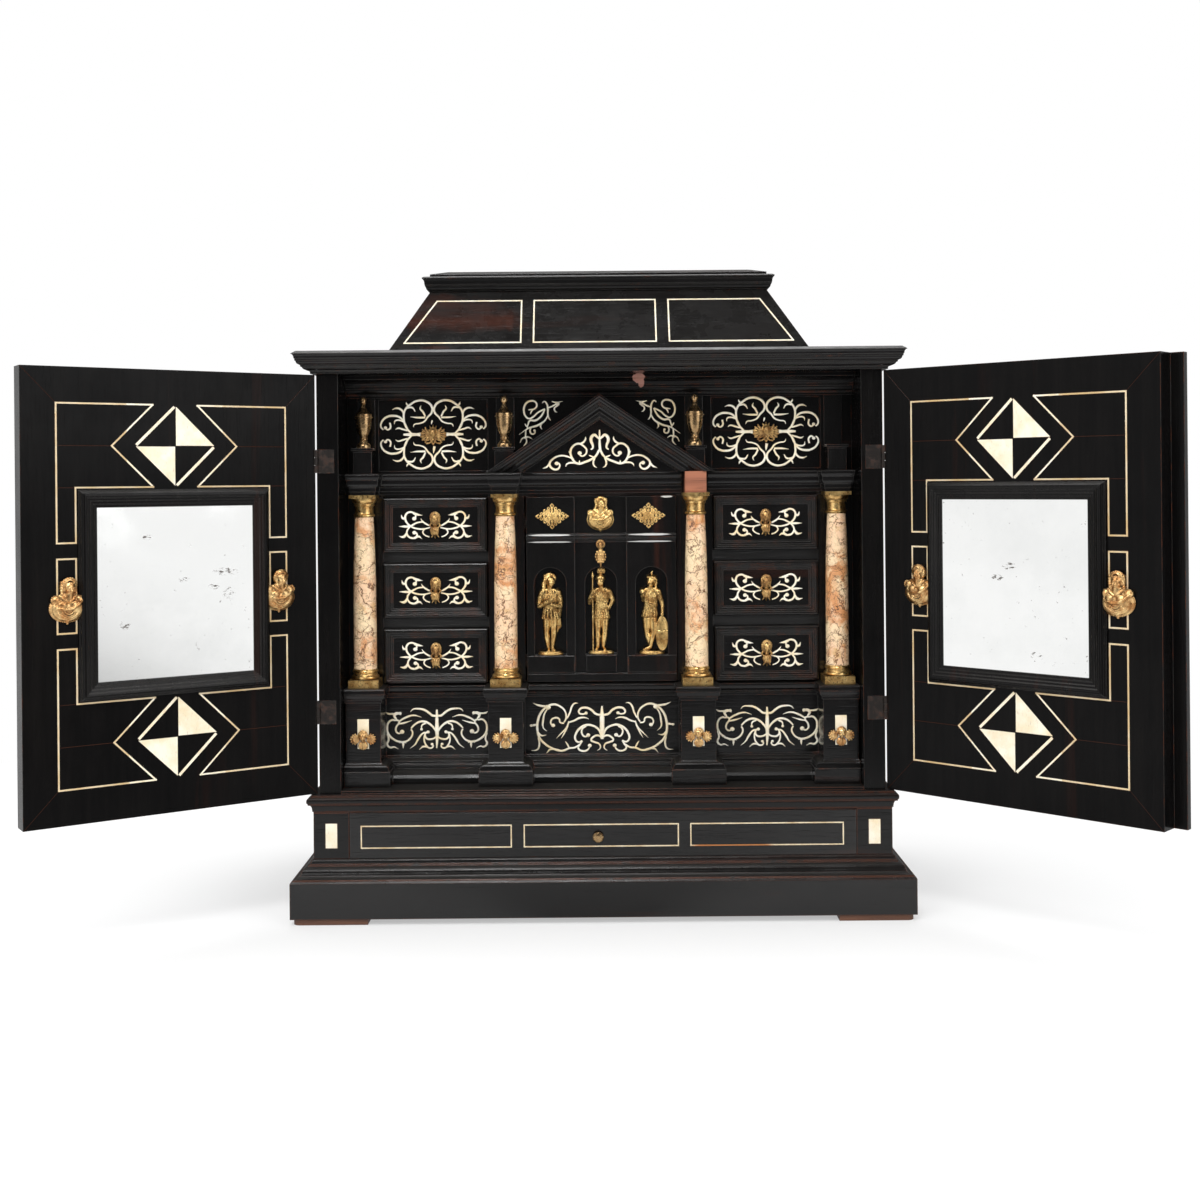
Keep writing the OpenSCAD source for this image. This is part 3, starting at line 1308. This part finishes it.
// Frieze drawer with the four pedestals on its front
frieze_low = z_floor + runner_gap;
frieze_front_h = frieze_h - runner_gap - 0.8;
module frieze_drawer() {
  half = inner_half - running_gap;
  flank = pedestal_profile(frieze_front_h, (pedestal_foot_w - die_w) / 2, pedestal_cap_out);
  face = pedestal_profile(frieze_front_h, pedestal_foot_out, pedestal_cap_out);
  frieze = frieze_profile(frieze_front_h, 24, 7);
  box_h = frieze_h - facade_t - 10;
  color(wood) place() translate([0, 0, frieze_low]) {
    run_x(-half, half, concat(
      [for (q = frieze) [facade_front - q[0], q[1]]],
      [[facade_front, frieze_front_h], [facade_rear, frieze_front_h], [facade_rear, 0]]
    ));
    intersection() {
      for (x = COLUMNS) translate([x, 0, 0]) intersection() {
        run_y(0, facade_front, concat(
          [for (q = flank) [die_w / 2 + q[0], q[1]]],
          [for (i = [len(flank) - 1:-1:0]) [-die_w / 2 - flank[i][0], flank[i][1]]]
        ));
        run_x(-pedestal_foot_w, pedestal_foot_w, concat(
          [for (q = face) [die_back - q[0], q[1]]],
          [[facade_front, frieze_front_h], [facade_front, 0]]
        ));
      }
      block([-half, 0, 0], [half, facade_front, frieze_front_h]);
    }
    tray([-half + 1, facade_rear, 0], [half - 1, drawer_rear, box_h]);
  }
}
plaque_w = 11.5;
plaque_h = 30;
plaque_up = 53.5;
module frieze_plaques() {
  color(bone) place() for (x = COLUMNS) translate([x, 0, frieze_low + plaque_up])
    block([-plaque_w / 2, die_back - 1, -plaque_h / 2], [plaque_w / 2, die_back, plaque_h / 2]);
}
// A winged head, facing up
module winged_head() {
  $fn = 12;
  above_plane(20) {
    translate([0, 1, 2.2]) sphere(5.6);
    translate([0, 6.4, 1.6]) sphere(4);
    for (side = [-1, 1]) {
      limb([side * 3.5, 0.6, 1.2], [side * 9, 1.2, 1], 4.6, 3.8);
      translate([side * 9.4, 1.2, 0.8]) sphere(4);
    }
    limb([0, -8.6, 1], [0, -2, 1.4], 3.4, 4.6);
  }
}
module frieze_mounts() {
  color(gilt) place() for (x = COLUMNS) on_front(x, die_back - 1, frieze_low + plaque_up - 4) winged_head();
}

// Base drawer
base_low = z_waist + runner_gap;
base_front_h = waist_h - runner_gap - 0.8;
base_half = case_half + waist_out - waist_stile - running_gap;
module base_strings_flat() {
  low = 10.2;
  high = base_front_h - 12.8;
  out_in = 11.5;
  panels = [[out_in - base_half, -91.5], [-78.5, 75], [87.5, base_half - out_in - 1.5]];
  for (panel = panels) closed_line([
    [panel[0], low], [panel[1], low], [panel[1], high], [panel[0], high]
  ], string_w * 0.8);
}
module base_drawer() {
  front = -waist_out;
  thick = 15;
  headroom = 7;
  color(wood) place() translate([0, 0, base_low]) {
    difference() {
      block([-base_half, front, 0], [base_half, front + thick, base_front_h]);
      translate([0, front + inlay_t, 0]) rotate([90, 0, 0]) linear_extrude(inlay_t + cut) base_strings_flat();
    }
    tray([-base_half + 1, front + thick, 0], [base_half - 1, drawer_rear, base_front_h - headroom]);
  }
}
module base_drawer_inlay() {
  color(bone) place() translate([0, inlay_t - waist_out, base_low]) rotate([90, 0, 0])
    linear_extrude(inlay_t + proud) base_strings_flat();
}
module base_drawer_knob() {
  color(gilt) place() on_front(-4.8, -waist_out, base_low + 19.8) rotate_extrude()
    polygon([[0, 0], [3, 0], [2.2, 1.2], [2.2, 2.2], [5.2, 3], [5.4, 4.2], [4.4, 5.4], [2, 6], [0, 6]]);
}

feet();
plinth();
waist();
surbase();
left_side();
right_side();
back_board();
cornice();
roof_boards();
roof_cap();
case_inlay();
inner_cornice();
interior_boards();
facade_piers();
urn_pedestals();
attic_front();
pediment();
entablature();
bare_block();
urns();
column_shafts();
column_mounts();
case_hinges();
left_door_leaf();
left_mirror_frame();
left_mirror();
left_door_inlay();
left_door_busts();
left_door_hinges();
right_door_leaf();
right_mirror_frame();
right_mirror();
right_door_inlay();
right_door_busts();
right_door_hinges();
niche_door();
niche_figures();
niche_mounts();
small_drawer(-drawer_mid, 0);  // drawer_left_low
small_drawer(-drawer_mid, 1);  // drawer_left_middle
small_drawer(-drawer_mid, 2);  // drawer_left_high
small_drawer(drawer_mid, 0);  // drawer_right_low
small_drawer(drawer_mid, 1);  // drawer_right_middle
small_drawer(drawer_mid, 2);  // drawer_right_high
small_pull(-drawer_mid, 0);  // pull_left_low
small_pull(-drawer_mid, 1);  // pull_left_middle
small_pull(-drawer_mid, 2);  // pull_left_high
small_pull(drawer_mid, 0);  // pull_right_low
small_pull(drawer_mid, 1);  // pull_right_middle
small_pull(drawer_mid, 2);  // pull_right_high
attic_drawer(-attic_mid);  // attic_drawer_left
attic_drawer(attic_mid);  // attic_drawer_right
attic_mount(-attic_mid);  // attic_mount_left
attic_mount(attic_mid);  // attic_mount_right
frieze_drawer();
frieze_plaques();
frieze_mounts();
base_drawer();
base_drawer_inlay();
base_drawer_knob();
